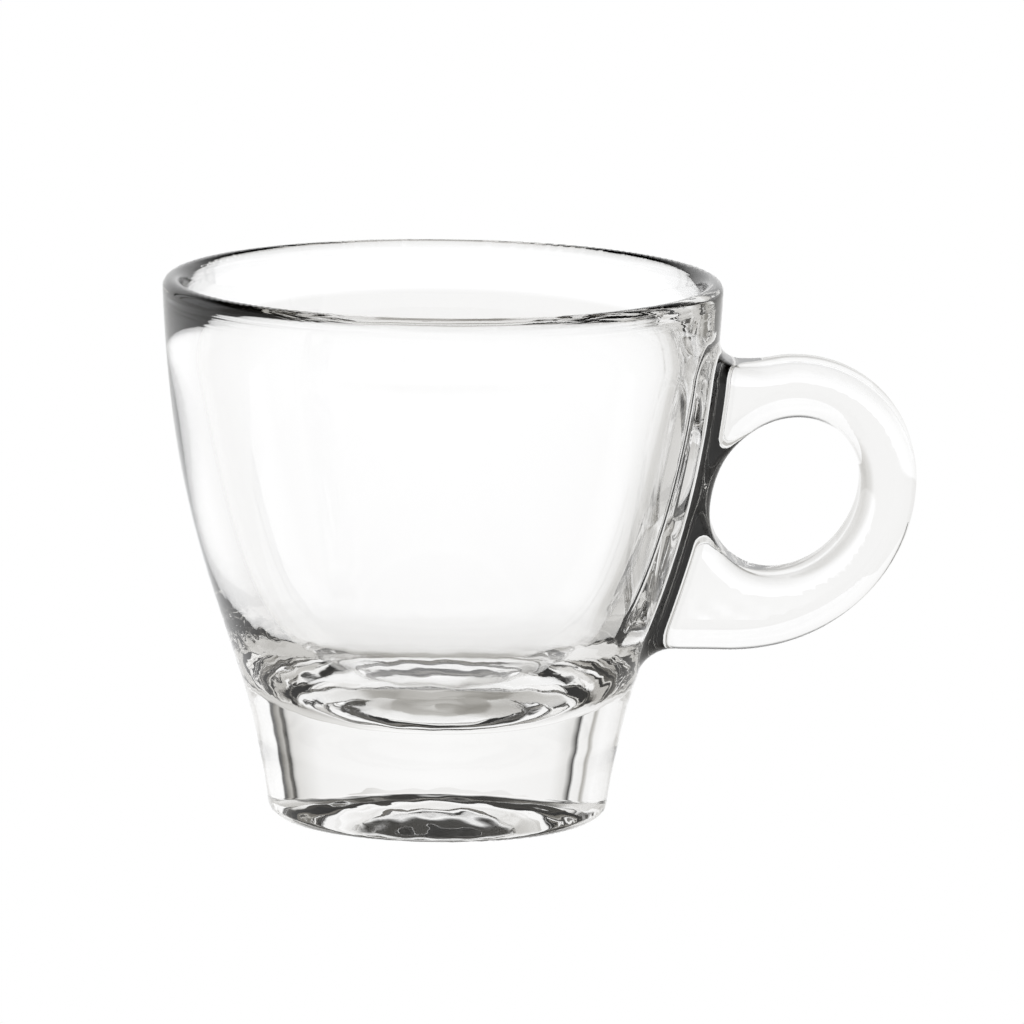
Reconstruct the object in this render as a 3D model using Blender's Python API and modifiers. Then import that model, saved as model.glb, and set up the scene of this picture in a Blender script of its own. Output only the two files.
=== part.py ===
"""Clear pressed-glass espresso cup with a ring handle, standing on z = 0.

Units are metres, +Z is up and the handle points along +X.
The cup is modelled as the three bodies that a glassworker names: bowl, foot and handle.
The origin lies under the middle of the whole width, handle included.
"""
import math

import bmesh
import bpy
from mathutils import Vector

# Fit between touching pieces
SEAM = 0.0003

# Outer wall, from the shoulder up to the rim
CUP_HEIGHT = 0.061
RIM_RADIUS = 0.0315
RIM_WALL = 0.0022
SHOULDER_HEIGHT = 0.0153
SHOULDER_RADIUS = 0.0222
SHOULDER_LEAN = math.radians(18.5)
RIM_LEAN = math.radians(2.7)
WALL_PULL_LOW = 0.0153
WALL_PULL_HIGH = 0.0216

# Cavity
FLOOR_HEIGHT = 0.0123
FLOOR_PULL = 0.0057
WAIST_HEIGHT = 0.0220
WAIST_WALL = 0.0050
WAIST_LEAN = math.radians(30.0)
WAIST_PULL_LOW = 0.0112
WAIST_PULL_HIGH = 0.0080
THROAT_HEIGHT = 0.0531
THROAT_WALL = 0.0033
THROAT_LEAN = math.radians(6.0)
THROAT_PULL_LOW = 0.0034
THROAT_PULL_HIGH = 0.0025
MOUTH_LEAN = math.radians(32.5)
MOUTH_PULL = 0.0020

# Underside of the bowl, which the foot carries
FLOOR_WALL = 0.0042
LAND_WIDTH = 0.0030

# Foot
FOOT_RADIUS = 0.0192
FOOT_TOP_LEAN = math.radians(15.4)
FOOT_LEAN = math.radians(7.8)
FOOT_PULL = 0.0050
FOOT_ROUND = 0.0014
PUNT_RADIUS = 0.0150
PUNT_DEPTH = 0.0044

# Handle
HANDLE_THICKNESS = 0.0100
HANDLE_ROUND = 0.0022
HANDLE_BAND = 0.0063
HANDLE_BAND_LOW = 0.0086
HANDLE_WEB = 0.0014
HANDLE_CROWN = 0.0012
HANDLE_DIP = 0.00055
HANDLE_HEEL = 0.0060
HANDLE_TIP_RISE = 0.0021
HANDLE_FILLET = 0.0034
HANDLE_FILLET_LOW = 0.0036
HANDLE_SINK = 0.0010
HANDLE_BURY = 0.0080
HOLE_HEIGHT = 0.0371
HOLE_LONG = 0.0095
HOLE_SHORT = 0.0079
HOLE_TILT = math.radians(54.0)

# Fineness of the faceted solids
TURN_STEPS = 48
WALL_POINTS = 9
FLOOR_POINTS = 9
FLARE_POINTS = 4
FOOT_POINTS = 6
DISH_POINTS = 8
ARC_POINTS = 5
OUTLINE_POINTS = 8
BEVEL_STEPS = 2
HALVING_STEPS = 40
MERGE = 0.00002

# Handle length of a cubic curve that follows a quarter of an ellipse
QUARTER = 4.0 / 3.0 * (math.sqrt(2.0) - 1.0)

GLASS_COLOUR = (0.93, 0.95, 0.93, 1.0)
GLASS_ROUGHNESS = 0.02
GLASS_IOR = 1.52


def clear_scene():
    """Remove what the scene holds, so the script always starts from nothing."""
    for item in list(bpy.data.objects):
        bpy.data.objects.remove(item, do_unlink=True)


def new_collection(name):
    """Make a collection under the scene."""
    collection = bpy.data.collections.new(name)
    bpy.context.scene.collection.children.link(collection)
    return collection


def glass_material(name):
    """Clear glass with the faint green of pressed soda-lime."""
    material = bpy.data.materials.new(name)
    material.use_nodes = True
    shader = material.node_tree.nodes["Principled BSDF"]
    shader.inputs["Base Color"].default_value = GLASS_COLOUR
    shader.inputs["Roughness"].default_value = GLASS_ROUGHNESS
    shader.inputs["Metallic"].default_value = 0.0
    shader.inputs["Transmission Weight"].default_value = 1.0
    shader.inputs["IOR"].default_value = GLASS_IOR
    return material


def leaning(angle):
    """Unit direction, as radius and height, that leans outward from the vertical."""
    return Vector((math.sin(angle), math.cos(angle)))


def cubic_point(curve, t):
    """One point of a cubic curve, given by its four control points."""
    s = 1.0 - t
    return s ** 3 * curve[0] + 3 * s * s * t * curve[1] + 3 * s * t * t * curve[2] + t ** 3 * curve[3]


def cubic(curve, count):
    """Points along a cubic curve, both ends included."""
    return [cubic_point(curve, index / count) for index in range(count + 1)]


def arc(centre, radius, start, end, count):
    """Points along a circular arc in the radius and height plane."""
    points = []
    for index in range(count + 1):
        angle = start + (end - start) * index / count
        points.append(centre + radius * Vector((math.cos(angle), math.sin(angle))))
    return points


def wall_curve():
    """Control points of the outer wall, from the shoulder up to the rim bead."""
    low = Vector((SHOULDER_RADIUS, SHOULDER_HEIGHT))
    high = Vector((RIM_RADIUS, CUP_HEIGHT - RIM_WALL / 2))
    low_pull = low + WALL_PULL_LOW * leaning(SHOULDER_LEAN)
    high_pull = high - WALL_PULL_HIGH * leaning(RIM_LEAN)
    return (low, low_pull, high_pull, high)


def outer_wall():
    """Outer wall of the bowl, from the shoulder up."""
    return cubic(wall_curve(), WALL_POINTS)


def wall_radius(height):
    """Outer radius of the bowl at a height, found by halving along the wall curve."""
    low, high = 0.0, 1.0
    curve = wall_curve()
    for _ in range(HALVING_STEPS):
        middle = (low + high) / 2
        point = cubic_point(curve, middle)
        if point.y < height:
            low = middle
        else:
            high = middle
    return cubic_point(curve, low).x


def bead_middle():
    """Middle of the round rim."""
    return Vector((RIM_RADIUS - RIM_WALL / 2, CUP_HEIGHT - RIM_WALL / 2))


def inner_wall(height, thickness):
    """Point of the cavity at a height, set in from the outer wall."""
    return Vector((wall_radius(height) - thickness, height))


def cavity():
    """Inside of the bowl, from the middle of the floor up to the rim."""
    floor = Vector((0.0, FLOOR_HEIGHT))
    waist = inner_wall(WAIST_HEIGHT, WAIST_WALL)
    throat = inner_wall(THROAT_HEIGHT, THROAT_WALL)
    mouth = bead_middle() + RIM_WALL / 2 * Vector((-math.cos(MOUTH_LEAN), math.sin(MOUTH_LEAN)))
    slant = leaning(WAIST_LEAN)
    upright = leaning(THROAT_LEAN)
    lower = (floor, floor + Vector((FLOOR_PULL, 0.0)), waist - WAIST_PULL_LOW * slant, waist)
    upper = (waist, waist + WAIST_PULL_HIGH * slant, throat - THROAT_PULL_LOW * upright, throat)
    flare = (throat, throat + THROAT_PULL_HIGH * upright, mouth - MOUTH_PULL * leaning(MOUTH_LEAN), mouth)
    return cubic(lower, FLOOR_POINTS) + cubic(upper, WALL_POINTS)[1:] + cubic(flare, FLARE_POINTS)[1:]


def dish(edge_radius, edge_height, middle_height, count):
    """Round dish from its edge to its middle on the axis."""
    rise = edge_height - middle_height
    radius = (edge_radius ** 2 + rise ** 2) / (2 * rise)
    centre = Vector((0.0, middle_height + radius))
    edge_angle = math.atan2(edge_height - centre.y, edge_radius)
    return arc(centre, radius, edge_angle, -math.pi / 2, count)


def bowl_profile():
    """Half section of the bowl: up the cavity, over the rim, down the wall and under the floor."""
    rim = arc(bead_middle(), RIM_WALL / 2, math.pi - MOUTH_LEAN, 0.0, 2 * ARC_POINTS)
    under = dish(SHOULDER_RADIUS - LAND_WIDTH, SHOULDER_HEIGHT, FLOOR_HEIGHT - FLOOR_WALL, DISH_POINTS)
    return cavity() + rim[1:-1] + outer_wall()[::-1] + under


def foot_profile():
    """Half section of the foot: over the dished top, down the side, under the ring and into the punt."""
    seat = dish(SHOULDER_RADIUS - LAND_WIDTH, SHOULDER_HEIGHT - SEAM, FLOOR_HEIGHT - FLOOR_WALL - SEAM,
                DISH_POINTS)
    top = Vector((SHOULDER_RADIUS - SEAM * math.tan(FOOT_TOP_LEAN), SHOULDER_HEIGHT - SEAM))
    heel = Vector((FOOT_RADIUS, FOOT_ROUND))
    side = (top, top - FOOT_PULL * leaning(FOOT_TOP_LEAN), heel + FOOT_PULL * leaning(FOOT_LEAN), heel)
    edge = arc(heel - Vector((FOOT_ROUND, 0.0)), FOOT_ROUND, 0.0, -math.pi / 2, ARC_POINTS)
    punt_bend = (PUNT_RADIUS ** 2 + PUNT_DEPTH ** 2) / (2 * PUNT_DEPTH)
    punt_centre = Vector((0.0, PUNT_DEPTH - punt_bend))
    punt_edge = math.asin(-punt_centre.y / punt_bend)
    punt = arc(punt_centre, punt_bend, punt_edge, math.pi / 2, DISH_POINTS)
    return seat[::-1] + cubic(side, FOOT_POINTS) + edge[1:] + punt


def wall_cutter_profile():
    """Half section of the space that the bowl takes up, with the seam around it and a stub below."""
    wall = [point + Vector((SEAM, 0.0)) for point in outer_wall()[::-1]]
    stub = wall[-1] - Vector((0.0, HANDLE_FILLET_LOW))
    return [Vector((0.0, wall[0].y))] + wall + [stub, Vector((0.0, stub.y))]


def on_axis(point):
    """Profile point as a 3D point, with the ends set exactly on the axis."""
    radius = 0.0 if point.x < MERGE else point.x
    return (radius, 0.0, point.y)


def turned(name, profile, collection, parent):
    """Turned body: the half section swept round the cup's axis."""
    mesh = bpy.data.meshes.new(name)
    edges = [(index, index + 1) for index in range(len(profile) - 1)]
    mesh.from_pydata([on_axis(point) for point in profile], edges, [])
    body = bpy.data.objects.new(name, mesh)
    collection.objects.link(body)
    body.parent = parent
    screw = body.modifiers.new("turn", "SCREW")
    screw.axis = "Z"
    screw.steps = TURN_STEPS
    screw.render_steps = TURN_STEPS
    screw.use_merge_vertices = True
    screw.merge_threshold = MERGE
    screw.use_smooth_shade = True
    return body


def hole_reach(angle):
    """How far the tilted finger hole reaches from its middle in a direction of its plane."""
    return math.hypot(HOLE_LONG * math.cos(angle - HOLE_TILT), HOLE_SHORT * math.sin(angle - HOLE_TILT))


def hole_middle():
    """Middle of the finger hole, as distance from the cup's axis and height."""
    return Vector((wall_radius(HOLE_HEIGHT) + HANDLE_WEB + hole_reach(0.0), HOLE_HEIGHT))


def handle_tip():
    """Outermost point of the handle."""
    middle = hole_middle()
    return Vector((middle.x + hole_reach(0.0) + HANDLE_BAND, middle.y + HANDLE_TIP_RISE))


def hole_knots():
    """Four knots of the elliptical finger hole, each with its two curve handles."""
    middle = hole_middle()
    along = Vector((math.cos(HOLE_TILT), math.sin(HOLE_TILT)))
    across = Vector((-along.y, along.x))
    arms = (HOLE_LONG * along, HOLE_SHORT * across, -HOLE_LONG * along, -HOLE_SHORT * across)
    knots = []
    for index, arm in enumerate(arms):
        turn = QUARTER * arms[(index + 1) % len(arms)]
        point = middle + arm
        knots.append((point - turn, point, point + turn))
    return knots


def root_knots(edge, fillet, side):
    """Knots from inside the wall to where a fillet leaves it, and the corner that the fillet rounds off."""
    height = edge.y + side * fillet
    sink = Vector((HANDLE_SINK, 0.0))
    corner = Vector((wall_radius(edge.y), edge.y))
    start = Vector((wall_radius(height), height)) - sink
    root = start - Vector((HANDLE_BURY, 0.0))
    return [(root, root, root), (start, start, corner - sink)], corner


def outline_knots():
    """Outer outline of the handle, from the top of its root round the tip to the bottom of its root."""
    middle = hole_middle()
    tip = handle_tip()
    top = Vector((middle.x + HANDLE_CROWN, middle.y + hole_reach(math.pi / 2) + HANDLE_BAND))
    heel = Vector((middle.x - HANDLE_HEEL, middle.y - hole_reach(math.pi / 2) - HANDLE_BAND_LOW))
    upper, top_corner = root_knots(top - Vector((0.0, HANDLE_DIP)), HANDLE_FILLET, 1.0)
    lower, heel_corner = root_knots(heel, HANDLE_FILLET_LOW, -1.0)
    saddle = top_corner + Vector((HANDLE_FILLET, 0.0))
    swing = Vector(((top.x - saddle.x) / 2, 0.0))
    top_out = Vector((QUARTER * (tip.x - top.x), 0.0))
    heel_out = Vector((QUARTER * (tip.x - heel.x), 0.0))
    tip_up = Vector((0.0, QUARTER * (top.y - tip.y)))
    tip_down = Vector((0.0, QUARTER * (heel.y - tip.y)))
    knots = upper + [
        (top_corner, saddle, saddle + swing),
        (top - swing, top, top + top_out),
        (tip + tip_up, tip, tip + tip_down),
        (heel + heel_out, heel, heel_corner),
    ]
    return knots + [(right, point, left) for left, point, right in reversed(lower)]


def add_spline(curve, knots):
    """Closed Bezier spline through knots of left handle, point and right handle."""
    spline = curve.splines.new("BEZIER")
    spline.bezier_points.add(len(knots) - 1)
    spline.use_cyclic_u = True
    spline.resolution_u = OUTLINE_POINTS
    for knot, (left, point, right) in zip(spline.bezier_points, knots):
        knot.handle_left_type = "FREE"
        knot.handle_right_type = "FREE"
        knot.co = point.to_3d()
        knot.handle_left = left.to_3d()
        knot.handle_right = right.to_3d()


def handle_blank(parent):
    """Handle outline with its finger hole, thickened and rounded, as a welded mesh."""
    curve = bpy.data.curves.new("handle_outline", "CURVE")
    curve.dimensions = "2D"
    curve.fill_mode = "BOTH"
    curve.extrude = HANDLE_THICKNESS / 2 - HANDLE_ROUND
    curve.bevel_depth = HANDLE_ROUND
    curve.bevel_resolution = BEVEL_STEPS
    curve.offset = -HANDLE_ROUND
    add_spline(curve, outline_knots())
    add_spline(curve, hole_knots())
    guide = bpy.data.objects.new("handle_outline", curve)
    bpy.context.scene.collection.objects.link(guide)
    guide.parent = parent
    guide.rotation_euler = (math.pi / 2, 0.0, 0.0)
    depsgraph = bpy.context.evaluated_depsgraph_get()
    mesh = bpy.data.meshes.new_from_object(guide.evaluated_get(depsgraph))
    placed = guide.matrix_world.copy()
    bpy.data.objects.remove(guide, do_unlink=True)
    weld = bmesh.new()
    weld.from_mesh(mesh)
    bmesh.ops.remove_doubles(weld, verts=weld.verts, dist=MERGE)
    bmesh.ops.recalc_face_normals(weld, faces=weld.faces)
    weld.to_mesh(mesh)
    weld.free()
    mesh.shade_smooth()
    return mesh, placed


def handle_body(name, collection, parent, cutter):
    """Ring handle, trimmed to lie against the bowl's wall."""
    mesh, placed = handle_blank(parent)
    mesh.name = name
    body = bpy.data.objects.new(name, mesh)
    collection.objects.link(body)
    body.parent = parent
    body.matrix_world = placed
    trim = body.modifiers.new("wall", "BOOLEAN")
    trim.operation = "DIFFERENCE"
    trim.solver = "EXACT"
    trim.object = cutter
    return body


def build():
    """Make the whole cup."""
    clear_scene()
    parts = new_collection("espresso_cup")
    cutters = new_collection("cutters")
    axis = bpy.data.objects.new("cup_axis", None)
    parts.objects.link(axis)
    axis.location.x = (RIM_RADIUS - handle_tip().x) / 2
    bpy.context.view_layer.update()
    cutter = turned("wall_cutter", wall_cutter_profile(), cutters, axis)
    cutter.hide_render = True
    cutter.display_type = "WIRE"
    bodies = [
        turned("bowl", bowl_profile(), parts, axis),
        turned("foot", foot_profile(), parts, axis),
        handle_body("handle", parts, axis, cutter),
    ]
    for body in bodies:
        body.data.materials.clear()
        body.data.materials.append(glass_material(body.name + "_glass"))


build()
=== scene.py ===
import math

import bpy
import numpy as np
from mathutils import Matrix, Vector, kdtree


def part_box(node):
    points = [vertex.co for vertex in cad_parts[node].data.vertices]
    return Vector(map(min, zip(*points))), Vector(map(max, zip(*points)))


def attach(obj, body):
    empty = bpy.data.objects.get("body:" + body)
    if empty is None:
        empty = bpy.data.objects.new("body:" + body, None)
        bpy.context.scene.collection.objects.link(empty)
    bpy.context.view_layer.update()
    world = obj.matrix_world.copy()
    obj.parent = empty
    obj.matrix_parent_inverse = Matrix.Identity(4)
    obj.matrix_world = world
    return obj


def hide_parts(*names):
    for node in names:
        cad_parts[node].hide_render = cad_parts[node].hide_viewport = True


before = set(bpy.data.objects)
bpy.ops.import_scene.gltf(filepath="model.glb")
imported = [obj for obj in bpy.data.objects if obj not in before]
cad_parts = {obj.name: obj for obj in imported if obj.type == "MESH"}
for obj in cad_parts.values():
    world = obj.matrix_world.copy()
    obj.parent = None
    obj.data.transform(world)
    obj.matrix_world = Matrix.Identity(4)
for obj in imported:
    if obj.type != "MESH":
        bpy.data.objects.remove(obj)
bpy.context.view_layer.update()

BOWL_LOW, BOWL_HIGH = (Vector(corner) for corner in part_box("bowl"))
FOOT_LOW, FOOT_HIGH = (Vector(corner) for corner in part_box("foot"))
HANDLE_LOW, HANDLE_HIGH = (Vector(corner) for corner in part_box("handle"))

# Outer wall and cavity, in metres, on the cup's own axis
AXIS_X = (BOWL_LOW.x + BOWL_HIGH.x) / 2
CUP_HEIGHT = BOWL_HIGH.z
RIM_RADIUS = (BOWL_HIGH.x - BOWL_LOW.x) / 2
RIM_WALL = 0.0022
SHOULDER = (0.0222, 0.0153)
SHOULDER_LEAN = math.radians(18.5)
RIM_LEAN = math.radians(2.7)
WALL_PULL_LOW = 0.0153
WALL_PULL_HIGH = 0.0216
FLOOR_HEIGHT = 0.0123
FLOOR_PULL = 0.0057
WAIST_HEIGHT = 0.0220
WAIST_WALL = 0.0052
WAIST_LEAN = math.radians(30.0)
WAIST_PULL_LOW = 0.0112
WAIST_PULL_HIGH = 0.0080
THROAT_HEIGHT = 0.0531
THROAT_WALL = 0.0033
THROAT_LEAN = math.radians(4.8)
THROAT_PULL_LOW = 0.0088
THROAT_PULL_HIGH = 0.0025
MOUTH_LEAN = math.radians(32.5)
MOUTH_PULL = 0.0020

# Foot
FOOT_RADIUS = 0.0192
FOOT_LEAN = math.radians(7.8)
FOOT_TOP_LEAN = math.radians(15.4)
FOOT_PULL = 0.0050
FOOT_ROUND = 0.0014
PUNT_RADIUS = 0.0150
PUNT_DEPTH = 0.0048
PUNT_ROUND = 0.0010

# Handle
HANDLE_THICKNESS = HANDLE_HIGH.y - HANDLE_LOW.y
HANDLE_ROUND = 0.0021
HANDLE_BAND = 0.0063
HANDLE_BAND_LOW = 0.0086
HANDLE_CROWN = 0.0012
HANDLE_DIP = 0.00055
HANDLE_SADDLE = 0.0034
HANDLE_HEEL = 0.0060
HANDLE_TIP_RISE = 0.0021
HANDLE_BURY = 0.0012
HANDLE_FILLET = 0.0027
HOLE_HEIGHT = 0.0371
HOLE_LONG = 0.0095
HOLE_SHORT = 0.0079
HOLE_TILT = math.radians(54.0)

# Chill ripples low on the pressed glass
RIPPLE_HEIGHT = 0.000010
RIPPLE_LENGTH = 0.0030
RIPPLE_SPREAD = (0.6, 1.6)
RIPPLE_COUNT = 24
RIPPLE_TOP = 0.026
RIPPLE_FADE = 0.008
RIPPLE_CLEAR = 0.0010
RIPPLE_CALM = 0.35
RIPPLE_CALM_EDGE = 0.0010
RIPPLE_PUNT = 2.5
RIPPLE_PUNT_EDGE = 0.0030
RIPPLE_SEED = 7

# Lines drawn around the fire-polished rim, per metre across and along, with the heights where they set in
LINES_ACROSS = 900.0
LINES_ALONG = 40.0
LINES_HEIGHT = 0.00007
LINES_START = 0.0572
LINES_FULL = 0.0594
LINES_DETAIL = 2.0

# Glass
GLASS_IOR = 1.52
GLASS_DEPTH_COLOUR = (0.84, 0.83, 0.81, 1.0)
GLASS_DEPTH_DENSITY = 10.0
GLASS_REFLECTIONS = 8

# Camera
CAMERA_DISTANCE = 1.09
CAMERA_RISE = math.radians(9.8)
CAMERA_ROLL = math.radians(0.7)
CAMERA_LENS = 340.0
CAMERA_SENSOR = 36.0
CAMERA_AIM_OUT = 0.00805
CAMERA_AIM_HEIGHT = 0.0344

# Light near the horizon and overhead, as degrees away from straight behind the cup and brightness
RIGHT_LOW = (
    (0.0, 1.05), (30.0, 0.99), (42.0, 0.75), (43.0, 0.0), (45.0, 0.05), (46.5, 0.45), (49.0, 0.2),
    (50.5, 0.0), (52.5, 0.0), (53.5, 1.1), (72.0, 1.05), (80.0, 0.52), (180.0, 0.52),
)
LEFT_LOW = (
    (0.0, 1.05), (30.0, 0.99), (36.2, 0.8), (37.0, 0.0), (38.4, 0.0), (39.2, 1.0), (44.0, 0.95),
    (44.8, 0.4), (46.0, 0.5), (47.5, 1.0), (53.5, 1.1), (72.0, 1.05), (80.0, 0.52), (180.0, 0.52),
)
AROUND_HIGH = ((0.0, 0.0), (60.0, 0.02), (120.0, 0.16), (180.0, 0.18))
# Powers that turn a brightness into red, green and blue: dim light is a little warmer than bright light
LIGHT_WARMTH = (1.0, 1.03, 1.1)
# Heights above the horizon between which the lower light gives way to the upper, in degrees
LOW_TOP = 22.0
HIGH_START = 36.0
# Light from the table top by degrees below the horizon, and by degrees away from straight behind
BELOW = (
    (0.0, 0.95), (10.2, 0.95), (10.9, 1.08), (24.0, 1.05), (30.0, 1.0), (39.0, 0.95), (50.0, 0.92),
    (57.0, 0.85), (63.0, 0.52), (72.0, 0.48), (80.0, 0.62), (90.0, 0.65),
)
RIGHT_FLOOR = (
    (0.0, 1.0), (11.0, 0.98), (18.0, 0.8), (30.0, 0.68), (64.0, 0.57), (85.0, 0.7), (100.0, 0.82),
    (180.0, 0.82),
)
LEFT_FLOOR = (
    (0.0, 1.0), (14.0, 0.98), (30.0, 0.97), (64.0, 0.83), (85.0, 0.78), (100.0, 0.82), (180.0, 0.82),
)
# A full turn in degrees, and the share of it at which the back of the studio lies
FULL_TURN = 360.0
BACK_SHARE = 0.5
WHITE = (1.0, 1.0, 1.0, 1.0)

# White table top
FLOOR_SIZE = 6.0
FLOOR_GAP = 0.0002

# Fineness of the glass mesh
CELL = 0.00068
MARGIN = 3 * CELL
CURVE_STEP = 0.00005
ARC_FINENESS = 2
ARC_LEAST = 8
LINE_LEAST = 2
TABLE_STEP = CELL / 2
RELAX_ROUNDS = 4
TINY = 1e-9
QUARTER = 4.0 / 3.0 * (math.sqrt(2.0) - 1.0)


def leaning(angle):
    """Unit direction, as radius and height, that leans outward from the vertical."""
    return np.array((math.sin(angle), math.cos(angle)))


def cubic(start, pull_start, pull_end, end):
    """Fine points along a cubic curve, without its last point."""
    control = np.array((start, pull_start, pull_end, end), dtype=float)
    length = np.linalg.norm(np.diff(control, axis=0), axis=1).sum()
    t = np.arange(0.0, 1.0, CURVE_STEP / length)[:, None]
    s = 1.0 - t
    return (
        s ** 3 * control[0]
        + 3 * s * s * t * control[1]
        + 3 * s * t * t * control[2]
        + t ** 3 * control[3]
    )


def arc(centre, radius, start, end):
    """Fine points along a circular arc, without its last point."""
    count = max(int(abs(end - start) * radius / CURVE_STEP * ARC_FINENESS), ARC_LEAST)
    angle = start + (end - start) * np.arange(count) / count
    return np.array(centre) + radius * np.stack((np.cos(angle), np.sin(angle)), axis=1)


def line(start, end):
    """Fine points along a straight run, without its last point."""
    start = np.array(start, dtype=float)
    end = np.array(end, dtype=float)
    count = max(int(np.linalg.norm(end - start) / CURVE_STEP), LINE_LEAST)
    return start + (end - start) * (np.arange(count) / count)[:, None]


def unit(ways):
    """Directions brought to unit length."""
    return ways / np.maximum(np.linalg.norm(ways, axis=1), TINY)[:, None]


class Outline:
    """A fine outline in a plane that gives the signed distance to it and the outward direction."""

    def __init__(self, points, closed):
        before = np.roll(points, 1, axis=0)
        after = np.roll(points, -1, axis=0)
        if not closed:
            before[0] = points[0]
            after[-1] = points[-1]
        tangent = after - before
        span = np.linalg.norm(tangent, axis=1)
        self.points = points
        self.tangent = tangent / span[:, None]
        self.normal = np.stack((self.tangent[:, 1], -self.tangent[:, 0]), axis=1)
        turn = np.roll(self.normal, -1, axis=0) - np.roll(self.normal, 1, axis=0)
        self.bend = np.einsum("ij,ij->i", turn, self.tangent) / span
        if not closed:
            self.bend[[0, -1]] = self.bend[[1, -2]]
        self.tree = kdtree.KDTree(len(points))
        for index, (u, v) in enumerate(points):
            self.tree.insert((u, v, 0.0), index)
        self.tree.balance()

    def measure(self, places):
        """Signed distances, and outward directions at the nearest points of the outline."""
        find = self.tree.find
        nearest = np.fromiter((find((u, v, 0.0))[1] for u, v in places.tolist()), int, len(places))
        offset = places - self.points[nearest]
        along = np.einsum("ij,ij->i", offset, self.tangent[nearest]).clip(-CURVE_STEP, CURVE_STEP)
        normal = self.normal[nearest] + (along * self.bend[nearest])[:, None] * self.tangent[nearest]
        normal /= np.linalg.norm(normal, axis=1)[:, None]
        return np.einsum("ij,ij->i", offset, normal), normal


def bead_middle():
    """Middle of the round rim, as radius and height."""
    return np.array((RIM_RADIUS - RIM_WALL / 2, CUP_HEIGHT - RIM_WALL / 2))


def wall_controls():
    """Control points of the outer wall, from the shoulder up to the rim bead."""
    low = np.array(SHOULDER)
    high = bead_middle() + RIM_WALL / 2 * np.array((math.cos(RIM_LEAN), -math.sin(RIM_LEAN)))
    low_pull = low + WALL_PULL_LOW * leaning(SHOULDER_LEAN)
    high_pull = high - WALL_PULL_HIGH * leaning(RIM_LEAN)
    return low, low_pull, high_pull, high


def wall_radius(height):
    """Outer radius of the bowl at a height."""
    wall = cubic(*wall_controls())
    return float(np.interp(height, wall[:, 1], wall[:, 0]))


def punt_points():
    """Dished underside, from the axis to the flat ring, with a soft edge between."""
    bend = (PUNT_RADIUS ** 2 + PUNT_DEPTH ** 2) / (2 * PUNT_DEPTH)
    centre = np.array((0.0, PUNT_DEPTH - bend))
    soft = np.array((math.sqrt((bend + PUNT_ROUND) ** 2 - (PUNT_ROUND - centre[1]) ** 2), PUNT_ROUND))
    edge = math.atan2(soft[1] - centre[1], soft[0])
    dome = arc(centre, bend, math.pi / 2, edge)
    return np.concatenate((dome, arc(soft, PUNT_ROUND, edge + math.pi, 1.5 * math.pi))), soft[0]


def foot_points():
    """Resting ring, heel and side of the foot up to the shoulder."""
    punt, ring_start = punt_points()
    heel = np.array((FOOT_RADIUS, FOOT_ROUND))
    shoulder = np.array(SHOULDER)
    round_centre = heel - np.array((FOOT_ROUND, 0.0))
    ring = line((ring_start, 0.0), (round_centre[0], 0.0))
    turn = arc(round_centre, FOOT_ROUND, -math.pi / 2, -FOOT_LEAN)
    start = round_centre + FOOT_ROUND * np.array((math.cos(FOOT_LEAN), -math.sin(FOOT_LEAN)))
    start_pull = start + FOOT_PULL * leaning(FOOT_LEAN)
    shoulder_pull = shoulder - FOOT_PULL * leaning(FOOT_TOP_LEAN)
    side = cubic(start, start_pull, shoulder_pull, shoulder)
    return np.concatenate((punt, ring, turn, side))


def cavity_points():
    """Rim bead and cavity, from the outer wall over the rim down to the middle of the floor."""
    bead = bead_middle()
    throat = np.array((wall_radius(THROAT_HEIGHT) - THROAT_WALL, THROAT_HEIGHT))
    waist = np.array((wall_radius(WAIST_HEIGHT) - WAIST_WALL, WAIST_HEIGHT))
    floor = np.array((0.0, FLOOR_HEIGHT))
    over = arc(bead, RIM_WALL / 2, -RIM_LEAN, math.pi - MOUTH_LEAN)
    mouth = bead + RIM_WALL / 2 * np.array((-math.cos(MOUTH_LEAN), math.sin(MOUTH_LEAN)))
    upright = leaning(THROAT_LEAN)
    slant = leaning(WAIST_LEAN)
    mouth_pull = mouth - MOUTH_PULL * leaning(MOUTH_LEAN)
    flare = cubic(mouth, mouth_pull, throat + THROAT_PULL_HIGH * upright, throat)
    upper = cubic(throat, throat - THROAT_PULL_LOW * upright, waist + WAIST_PULL_HIGH * slant, waist)
    lower = cubic(waist, waist - WAIST_PULL_LOW * slant, floor + np.array((FLOOR_PULL, 0.0)), floor)
    return np.concatenate((over, flare, upper, lower, floor[None, :]))


def hole_reach(angle):
    """How far the tilted finger hole reaches from its middle in a direction of its plane."""
    return math.hypot(HOLE_LONG * math.cos(angle - HOLE_TILT), HOLE_SHORT * math.sin(angle - HOLE_TILT))


def hole_middle():
    """Middle of the finger hole, as distance from the cup's axis and height."""
    tip = HANDLE_HIGH.x - AXIS_X
    return np.array((tip - HANDLE_BAND - hole_reach(0.0), HOLE_HEIGHT))


def hole_points():
    """Elliptical finger hole, clockwise, so that its outward direction points into the hole."""
    angle = np.arange(0.0, 2 * math.pi, CURVE_STEP / HOLE_LONG)
    along = np.array((math.cos(HOLE_TILT), math.sin(HOLE_TILT)))
    across = np.array((-along[1], along[0]))
    turn = HOLE_LONG * np.cos(angle)[:, None] * along - HOLE_SHORT * np.sin(angle)[:, None] * across
    return hole_middle() + turn


def quarter_turn(start, end, level_first):
    """Fine points along a quarter of an ellipse between a level and an upright direction."""
    start = np.array(start, dtype=float)
    end = np.array(end, dtype=float)
    level = np.array((QUARTER * (end[0] - start[0]), 0.0))
    upright = np.array((0.0, QUARTER * (end[1] - start[1])))
    if level_first:
        return cubic(start, start + level, end - upright, end)
    return cubic(start, start + upright, end - level, end)


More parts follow.
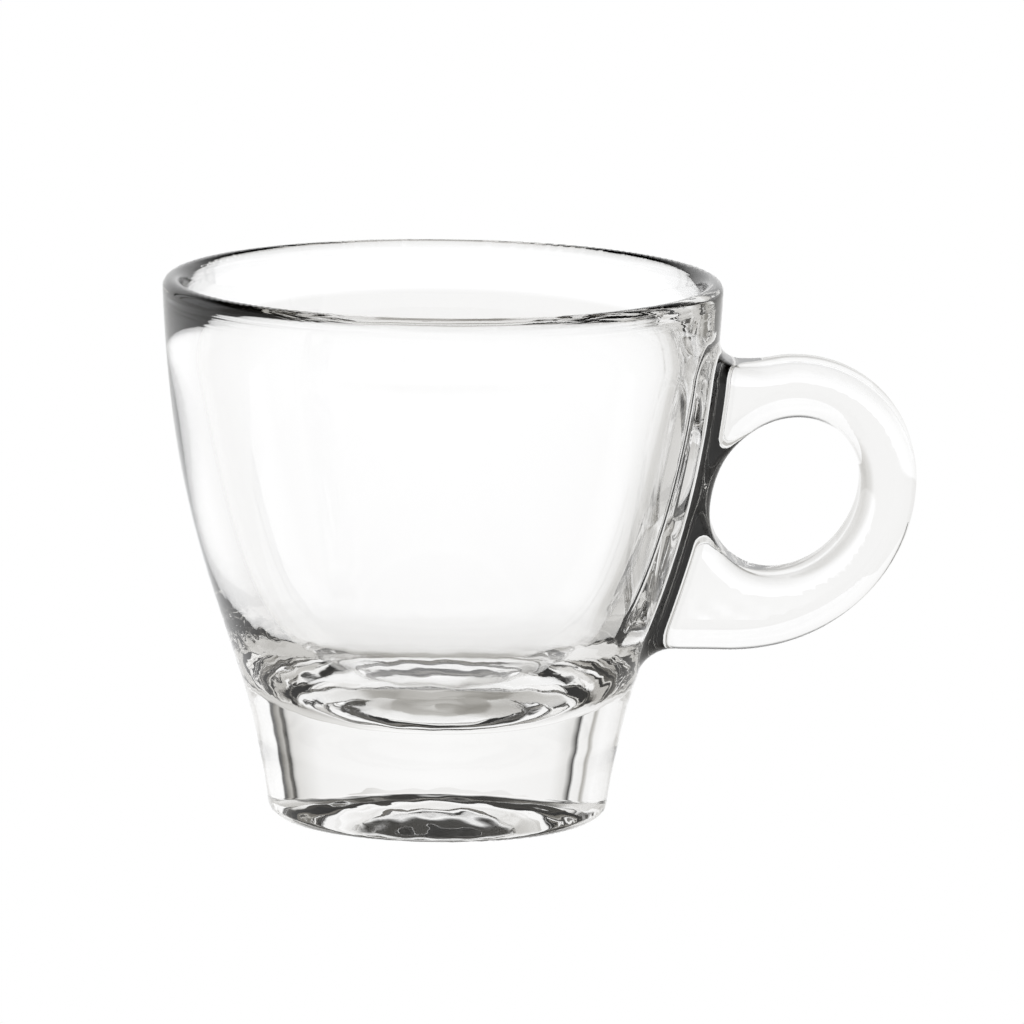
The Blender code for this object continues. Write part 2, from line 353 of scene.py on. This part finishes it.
def handle_points():
    """Outer outline of the handle, anticlockwise, running far into the wall on its left."""
    middle = hole_middle()
    tip = np.array((HANDLE_HIGH.x - AXIS_X, middle[1] + HANDLE_TIP_RISE))
    top = np.array((middle[0] + HANDLE_CROWN, middle[1] + hole_reach(math.pi / 2) + HANDLE_BAND))
    heel = np.array((middle[0] - HANDLE_HEEL, middle[1] - hole_reach(math.pi / 2) - HANDLE_BAND_LOW))
    saddle = np.array((wall_radius(top[1]) + HANDLE_SADDLE, top[1] - HANDLE_DIP))
    swing = np.array(((top[0] - saddle[0]) / 2, 0.0))
    low_left = np.array((0.0, heel[1]))
    top_left = np.array((0.0, saddle[1]))
    return np.concatenate((
        line(low_left, heel),
        quarter_turn(heel, tip, True),
        quarter_turn(tip, top, False),
        cubic(top, top - swing, saddle + swing, saddle),
        line(saddle, top_left),
        line(top_left, low_left),
    ))


def plate(edge_distance, y):
    """Distance to the handle's rounded plate, and the shares of its edge and its flat face in it."""
    edge = edge_distance + HANDLE_ROUND
    face = np.abs(y) - (HANDLE_THICKNESS / 2 - HANDLE_ROUND)
    on_corner = (edge > 0.0) & (face > 0.0)
    distance = np.where(on_corner, np.hypot(edge, face), np.maximum(edge, face)) - HANDLE_ROUND
    return distance, np.where(on_corner, edge, edge >= face), np.where(on_corner, face, edge < face)


def fused(body, ring, wall):
    """Distance to bowl and handle with a fillet between, the shares of both in it, and the buried end."""
    buried = -wall - HANDLE_BURY
    cut = buried > ring
    ring = np.where(cut, buried, ring)
    near_body = np.maximum(HANDLE_FILLET - body, 0.0)
    near_ring = np.maximum(HANDLE_FILLET - ring, 0.0)
    blend = np.hypot(near_body, near_ring)
    distance = np.maximum(HANDLE_FILLET, np.minimum(body, ring)) - blend
    return distance, near_body, near_ring, cut


class Ripples:
    """Faint ripples of pressed glass low on the cup, calm on the foot's side and strong under it."""

    def __init__(self):
        seeded = np.random.default_rng(RIPPLE_SEED)
        ways = unit(seeded.normal(size=(RIPPLE_COUNT, 3)))
        lengths = RIPPLE_LENGTH * seeded.uniform(*RIPPLE_SPREAD, RIPPLE_COUNT)
        self.waves = ways * (2 * math.pi / lengths)[:, None]
        self.starts = seeded.uniform(0.0, 2 * math.pi, RIPPLE_COUNT)

    def measure(self, places):
        """Height of the ripples, and the way it climbs."""
        z = places[:, 2]
        reach = np.hypot(places[:, 0] - AXIS_X, places[:, 1])
        fade = np.minimum((RIPPLE_TOP - z) / RIPPLE_FADE, z / RIPPLE_CLEAR).clip(0.0, 1.0)
        fade = fade * RIPPLE_HEIGHT / math.sqrt(RIPPLE_COUNT)
        beside = ((reach - FOOT_RADIUS + FOOT_ROUND) / RIPPLE_CALM_EDGE).clip(0.0, 1.0)
        under = ((SHOULDER[1] - z) / RIPPLE_CALM_EDGE).clip(0.0, 1.0)
        fade *= 1.0 - (1.0 - RIPPLE_CALM) * beside * under
        beneath = ((PUNT_RADIUS - reach) / RIPPLE_PUNT_EDGE).clip(0.0, 1.0) * (z < FLOOR_HEIGHT / 2)
        fade *= 1.0 + (RIPPLE_PUNT - 1.0) * beneath
        phase = places @ self.waves.T + self.starts
        return fade * np.cos(phase).sum(axis=1), -fade[:, None] * (np.sin(phase) @ self.waves)


class CupShape:
    """The whole cup as one body of glass: turned bowl and foot, ring handle, and fillets between."""

    def __init__(self):
        wall = cubic(*wall_controls())
        self.section = Outline(np.concatenate((foot_points(), wall, cavity_points())), False)
        self.wall = Outline(wall, False)
        self.handle = Outline(handle_points(), True)
        self.hole = Outline(hole_points(), True)
        self.ripples = Ripples()

    def turned(self, outline, places):
        """Distance to a turned surface, and its outward direction."""
        x = places[:, 0] - AXIS_X
        y = places[:, 1]
        radius = np.maximum(np.hypot(x, y), TINY)
        distance, flat = outline.measure(np.stack((radius, places[:, 2]), axis=1))
        return distance, np.stack((flat[:, 0] * x / radius, flat[:, 0] * y / radius, flat[:, 1]), axis=1)

    def ring_edge(self, places):
        """Distance to the handle's outline or its finger hole in the handle's plane, and the way out."""
        distance, normal = self.handle.measure(places)
        inner, inner_normal = self.hole.measure(places)
        in_hole = inner > distance
        return np.where(in_hole, inner, distance), np.where(in_hole[:, None], inner_normal, normal)

    def ring(self, places):
        """Distance to the handle's plate, and its outward direction."""
        edge, normal = self.ring_edge(np.stack((places[:, 0] - AXIS_X, places[:, 2]), axis=1))
        distance, edge_share, face_share = plate(edge, places[:, 1])
        way = (normal[:, 0] * edge_share, np.sign(places[:, 1]) * face_share, normal[:, 1] * edge_share)
        return distance, unit(np.stack(way, axis=1))

    def measure(self, places):
        """Distance to the glass surface, and its outward direction."""
        body, body_way = self.turned(self.section, places)
        ring, ring_way = self.ring(places)
        wall, wall_way = self.turned(self.wall, places)
        distance, body_share, ring_share, cut = fused(body, ring, wall)
        ring_way = np.where(cut[:, None], -wall_way, ring_way)
        way = unit(body_share[:, None] * body_way + ring_share[:, None] * ring_way)
        height, climb = self.ripples.measure(places)
        climb -= np.einsum("ij,ij->i", climb, way)[:, None] * way
        return distance - height, unit(way - climb)

    def on_grid(self, grid):
        """Distances at all points of an even grid, from tables over radius and height."""
        x, y, z = grid
        radius = np.hypot(x[:, None] - AXIS_X, y[None, :])
        table_radius = np.arange(0.0, radius.max() + CELL, TABLE_STEP)
        table_places = np.stack(np.meshgrid(table_radius, z, indexing="ij"), axis=-1).reshape(-1, 2)
        flat_places = np.stack(np.meshgrid(x - AXIS_X, z, indexing="ij"), axis=-1).reshape(-1, 2)
        edge = self.ring_edge(flat_places)[0].reshape(len(x), 1, len(z))
        ring = plate(edge, y[None, :, None])[0]
        spot = radius / TABLE_STEP
        low = spot.astype(int)
        share = (spot - low)[:, :, None]
        turned = []
        for outline in (self.section, self.wall):
            table = outline.measure(table_places)[0].reshape(len(table_radius), len(z))
            turned.append(table[low] * (1.0 - share) + table[low + 1] * share)
        return fused(turned[0], ring, turned[1])[0]


def lattice():
    """Even grid around the cup."""
    low = np.minimum(np.minimum(BOWL_LOW, FOOT_LOW), HANDLE_LOW) - MARGIN
    high = np.maximum(np.maximum(BOWL_HIGH, FOOT_HIGH), HANDLE_HIGH) + MARGIN
    counts = np.ceil((high - low) / CELL).astype(int) + 1
    return [low[axis] + CELL * np.arange(counts[axis]) for axis in range(3)]


def crossing_cells(values):
    """Middle of the surface in every cell that it passes through, as grid coordinates."""
    total = np.zeros(tuple(np.array(values.shape) - 1) + (3,))
    count = np.zeros(tuple(np.array(values.shape) - 1))
    corners = [np.array((i, j, k)) for i in (0, 1) for j in (0, 1) for k in (0, 1)]
    limits = np.array(values.shape) - 1

    def at(corner):
        return values[tuple(slice(c, c + n) for c, n in zip(corner, limits))]

    for first in corners:
        for axis in range(3):
            if first[axis]:
                continue
            second = first.copy()
            second[axis] = 1
            a = at(first)
            b = at(second)
            crosses = (a < 0) != (b < 0)
            share = np.where(crosses, a / np.where(crosses, a - b, 1.0), 0.0)
            for coordinate in range(3):
                step = share if coordinate == axis else first[coordinate]
                total[..., coordinate] += crosses * step
            count += crosses
    return total, count


def surface_quads(values, cell_index):
    """Quads across every grid edge that the surface cuts, all facing out of the glass."""
    quads = []
    inside = values < 0
    for axis in range(3):
        u, v = (axis + 1) % 3, (axis + 2) % 3
        low = np.take(inside, range(values.shape[axis] - 1), axis)
        high = np.take(inside, range(1, values.shape[axis]), axis)
        for leaving in (True, False):
            where = np.argwhere((low != high) & (low == leaving))
            ring = []
            for du, dv in ((-1, -1), (0, -1), (0, 0), (-1, 0)):
                cell = where.copy()
                cell[:, u] += du
                cell[:, v] += dv
                ring.append(cell_index[tuple(cell.T)])
            quads.append(np.stack(ring if leaving else ring[::-1], axis=1))
    return np.concatenate(quads)


def relaxed(shape, points, quads):
    """Points evened out along the surface, each set exactly on it."""
    for _ in range(RELAX_ROUNDS):
        total = np.zeros_like(points)
        count = np.zeros(len(points))
        for corner in range(4):
            for other in (1, 3):
                np.add.at(total, quads[:, corner], points[quads[:, (corner + other) % 4]])
                np.add.at(count, quads[:, corner], 1.0)
        points = (points + total / count[:, None]) / 2
        distance, way = shape.measure(points)
        points = points - distance[:, None] * way
    distance, way = shape.measure(points)
    points = points - distance[:, None] * way
    return points, shape.measure(points)[1]


def glass_mesh():
    """The cup's glass as one closed mesh of quads that lies on the shape."""
    shape = CupShape()
    grid = lattice()
    values = shape.on_grid(grid)
    total, count = crossing_cells(values)
    cells = np.argwhere(count > 0)
    cell_index = np.full(count.shape, -1)
    cell_index[tuple(cells.T)] = np.arange(len(cells))
    middle = total[tuple(cells.T)] / count[tuple(cells.T)][:, None]
    low = np.array([axis[0] for axis in grid])
    points = low + (cells + middle) * CELL
    quads = surface_quads(values, cell_index)
    points, normals = relaxed(shape, points, quads)
    mesh = bpy.data.meshes.new("cup_glass")
    mesh.from_pydata(points.tolist(), [], quads.tolist())
    mesh.update()
    mesh.shade_smooth()
    mesh.normals_split_custom_set_from_vertices(normals.tolist())
    return mesh


def math_node(nodes, links, kind, first, second=None):
    """One step of arithmetic on node sockets or numbers."""
    node = nodes.new("ShaderNodeMath")
    node.operation = kind
    for socket, value in zip(node.inputs, (first, second)):
        if isinstance(value, (int, float)):
            socket.default_value = value
        elif value is not None:
            links.new(value, socket)
    return node.outputs["Value"]


def drawn_lines(nodes, links):
    """Fine lines drawn out around the rim, as a bump that fades away down the wall."""
    place = nodes.new("ShaderNodeTexCoord")
    split = nodes.new("ShaderNodeSeparateXYZ")
    links.new(place.outputs["Object"], split.inputs["Vector"])
    out = math_node(nodes, links, "SUBTRACT", split.outputs["X"], AXIS_X)
    level = nodes.new("ShaderNodeCombineXYZ")
    links.new(out, level.inputs["X"])
    links.new(split.outputs["Y"], level.inputs["Y"])
    reach = nodes.new("ShaderNodeVectorMath")
    reach.operation = "LENGTH"
    links.new(level.outputs["Vector"], reach.inputs[0])
    across = math_node(nodes, links, "ADD", reach.outputs["Value"], split.outputs["Z"])
    spot = nodes.new("ShaderNodeCombineXYZ")
    links.new(math_node(nodes, links, "MULTIPLY", out, LINES_ALONG), spot.inputs["X"])
    links.new(math_node(nodes, links, "MULTIPLY", split.outputs["Y"], LINES_ALONG), spot.inputs["Y"])
    links.new(math_node(nodes, links, "MULTIPLY", across, LINES_ACROSS), spot.inputs["Z"])
    noise = nodes.new("ShaderNodeTexNoise")
    noise.inputs["Scale"].default_value = 1.0
    noise.inputs["Detail"].default_value = LINES_DETAIL
    links.new(spot.outputs["Vector"], noise.inputs["Vector"])
    fade = nodes.new("ShaderNodeMapRange")
    fade.inputs["From Min"].default_value = LINES_START
    fade.inputs["From Max"].default_value = LINES_FULL
    links.new(split.outputs["Z"], fade.inputs["Value"])
    bump = nodes.new("ShaderNodeBump")
    bump.inputs["Distance"].default_value = LINES_HEIGHT
    links.new(fade.outputs["Result"], bump.inputs["Strength"])
    links.new(noise.outputs["Fac"], bump.inputs["Height"])
    return bump.outputs["Normal"]


def glass_material():
    """Clear pressed glass with drawn lines at its rim and a trace of warm grey in its depth."""
    material = bpy.data.materials.new("clear_glass")
    material.use_nodes = True
    nodes = material.node_tree.nodes
    links = material.node_tree.links
    shader = nodes["Principled BSDF"]
    shader.inputs["Base Color"].default_value = WHITE
    shader.inputs["Roughness"].default_value = 0.0
    shader.inputs["Transmission Weight"].default_value = 1.0
    shader.inputs["IOR"].default_value = GLASS_IOR
    links.new(drawn_lines(nodes, links), shader.inputs["Normal"])
    depth = nodes.new("ShaderNodeVolumeAbsorption")
    depth.inputs["Color"].default_value = GLASS_DEPTH_COLOUR
    depth.inputs["Density"].default_value = GLASS_DEPTH_DENSITY
    links.new(depth.outputs["Volume"], nodes["Material Output"].inputs["Volume"])
    return material


def ramp(nodes, stops):
    """Colour ramp over steps of light, given as place and brightness."""
    node = nodes.new("ShaderNodeValToRGB")
    steps = node.color_ramp.elements
    while len(steps) < len(stops):
        steps.new(1.0)
    for step, (place, level) in zip(steps, stops):
        step.position = place
        step.color = [level ** power for power in LIGHT_WARMTH] + [1.0]
    return node


def white_to_camera(nodes, links, colour):
    """White where the camera looks straight at it, and the given light for the glass."""
    path = nodes.new("ShaderNodeLightPath")
    white = nodes.new("ShaderNodeBackground")
    white.inputs["Color"].default_value = WHITE
    light = nodes.new("ShaderNodeBackground")
    links.new(colour, light.inputs["Color"])
    mix = nodes.new("ShaderNodeMixShader")
    links.new(path.outputs["Is Camera Ray"], mix.inputs["Fac"])
    links.new(light.outputs["Background"], mix.inputs[1])
    links.new(white.outputs["Background"], mix.inputs[2])
    return mix.outputs["Shader"]


def turn_from_back(nodes, links, x, y):
    """Share of a turn round the studio, from 0 at the front over the left, the back and the right to 1."""
    angle = math_node(nodes, links, "ARCTAN2", x, y)
    share = math_node(nodes, links, "DIVIDE", angle, 2 * math.pi)
    return math_node(nodes, links, "ADD", share, BACK_SHARE)


def around_ramp(nodes, links, turn, left, right):
    """Brightness by the turn away from the back of the studio, to the left and to the right."""
    left_stops = [(BACK_SHARE - degrees / FULL_TURN, level) for degrees, level in reversed(left)]
    right_stops = [(BACK_SHARE + degrees / FULL_TURN, level) for degrees, level in right[1:]]
    node = ramp(nodes, left_stops + right_stops)
    links.new(turn, node.inputs["Fac"])
    return node.outputs["Color"]


def mixed(nodes, links, kind, factor, first, second):
    """Two colours mixed or multiplied."""
    mix = nodes.new("ShaderNodeMix")
    mix.data_type = "RGBA"
    mix.blend_type = kind
    if isinstance(factor, float):
        mix.inputs["Factor"].default_value = factor
    else:
        links.new(factor, mix.inputs["Factor"])
    links.new(first, mix.inputs["A"])
    links.new(second, mix.inputs["B"])
    return mix.outputs["Result"]


def studio_world():
    """Soft tent of light: a bright back, bright sides with dark gaps before them, and a dimmer front."""
    world = bpy.data.worlds.new("studio")
    world.use_nodes = True
    nodes = world.node_tree.nodes
    links = world.node_tree.links
    nodes.clear()
    way = nodes.new("ShaderNodeTexCoord")
    split = nodes.new("ShaderNodeSeparateXYZ")
    links.new(way.outputs["Generated"], split.inputs["Vector"])
    height = split.outputs["Z"]
    turn = turn_from_back(nodes, links, split.outputs["X"], split.outputs["Y"])
    low = around_ramp(nodes, links, turn, LEFT_LOW, RIGHT_LOW)
    high = around_ramp(nodes, links, turn, AROUND_HIGH, AROUND_HIGH)
    table = around_ramp(nodes, links, turn, LEFT_FLOOR, RIGHT_FLOOR)
    rise = ramp(nodes, [(math.sin(math.radians(LOW_TOP)), 0.0), (math.sin(math.radians(HIGH_START)), 1.0)])
    links.new(height, rise.inputs["Fac"])
    below = ramp(nodes, [(math.sin(math.radians(degrees)), level) for degrees, level in BELOW])
    links.new(math_node(nodes, links, "MULTIPLY", height, -1.0), below.inputs["Fac"])
    tent = mixed(nodes, links, "MIX", rise.outputs["Color"], low, high)
    table = mixed(nodes, links, "MULTIPLY", 1.0, table, below.outputs["Color"])
    light = mixed(nodes, links, "MIX", math_node(nodes, links, "LESS_THAN", height, 0.0), tent, table)
    output = nodes.new("ShaderNodeOutputWorld")
    links.new(white_to_camera(nodes, links, light), output.inputs["Surface"])
    bpy.context.scene.world = world


def floor_material():
    """Plain white table top that glows evenly."""
    material = bpy.data.materials.new("white_table")
    material.use_nodes = True
    nodes = material.node_tree.nodes
    nodes.clear()
    glow = nodes.new("ShaderNodeEmission")
    output = nodes.new("ShaderNodeOutputMaterial")
    material.node_tree.links.new(glow.outputs["Emission"], output.inputs["Surface"])
    return material


def add_floor():
    """Level white table top under the cup."""
    mesh = bpy.data.meshes.new("table")
    half = FLOOR_SIZE / 2
    corners = [(-half, -half, 0.0), (half, -half, 0.0), (half, half, 0.0), (-half, half, 0.0)]
    mesh.from_pydata(corners, [], [(0, 1, 2, 3)])
    mesh.materials.append(floor_material())
    table = bpy.data.objects.new("table", mesh)
    table.location = (AXIS_X, 0.0, -FLOOR_GAP)
    table.visible_transmission = False
    table.visible_glossy = False
    bpy.context.scene.collection.objects.link(table)


def add_camera():
    """Camera at the photo's angle, a little above the rim and far away."""
    lens = bpy.data.cameras.new("camera")
    lens.lens = CAMERA_LENS
    lens.sensor_width = CAMERA_SENSOR
    camera = bpy.data.objects.new("camera", lens)
    bpy.context.scene.collection.objects.link(camera)
    aim = Vector((AXIS_X + CAMERA_AIM_OUT, 0.0, CAMERA_AIM_HEIGHT))
    back = Vector((0.0, -math.cos(CAMERA_RISE), math.sin(CAMERA_RISE)))
    turn = (-back).to_track_quat("-Z", "Y").to_matrix().to_4x4()
    roll = Matrix.Rotation(CAMERA_ROLL, 4, "Z")
    camera.matrix_world = Matrix.Translation(aim + CAMERA_DISTANCE * back) @ turn @ roll
    bpy.context.scene.camera = camera


def add_cup():
    """The glass, in place of the three plain solids."""
    cup = bpy.data.objects.new("cup_glass", glass_mesh())
    cup.data.materials.append(glass_material())
    bpy.context.scene.collection.objects.link(cup)
    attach(cup, "root")
    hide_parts("bowl", "foot", "handle")


add_cup()
add_floor()
add_camera()
studio_world()
bpy.context.scene.view_settings.view_transform = "Standard"
bpy.context.scene.cycles.glossy_bounces = GLASS_REFLECTIONS
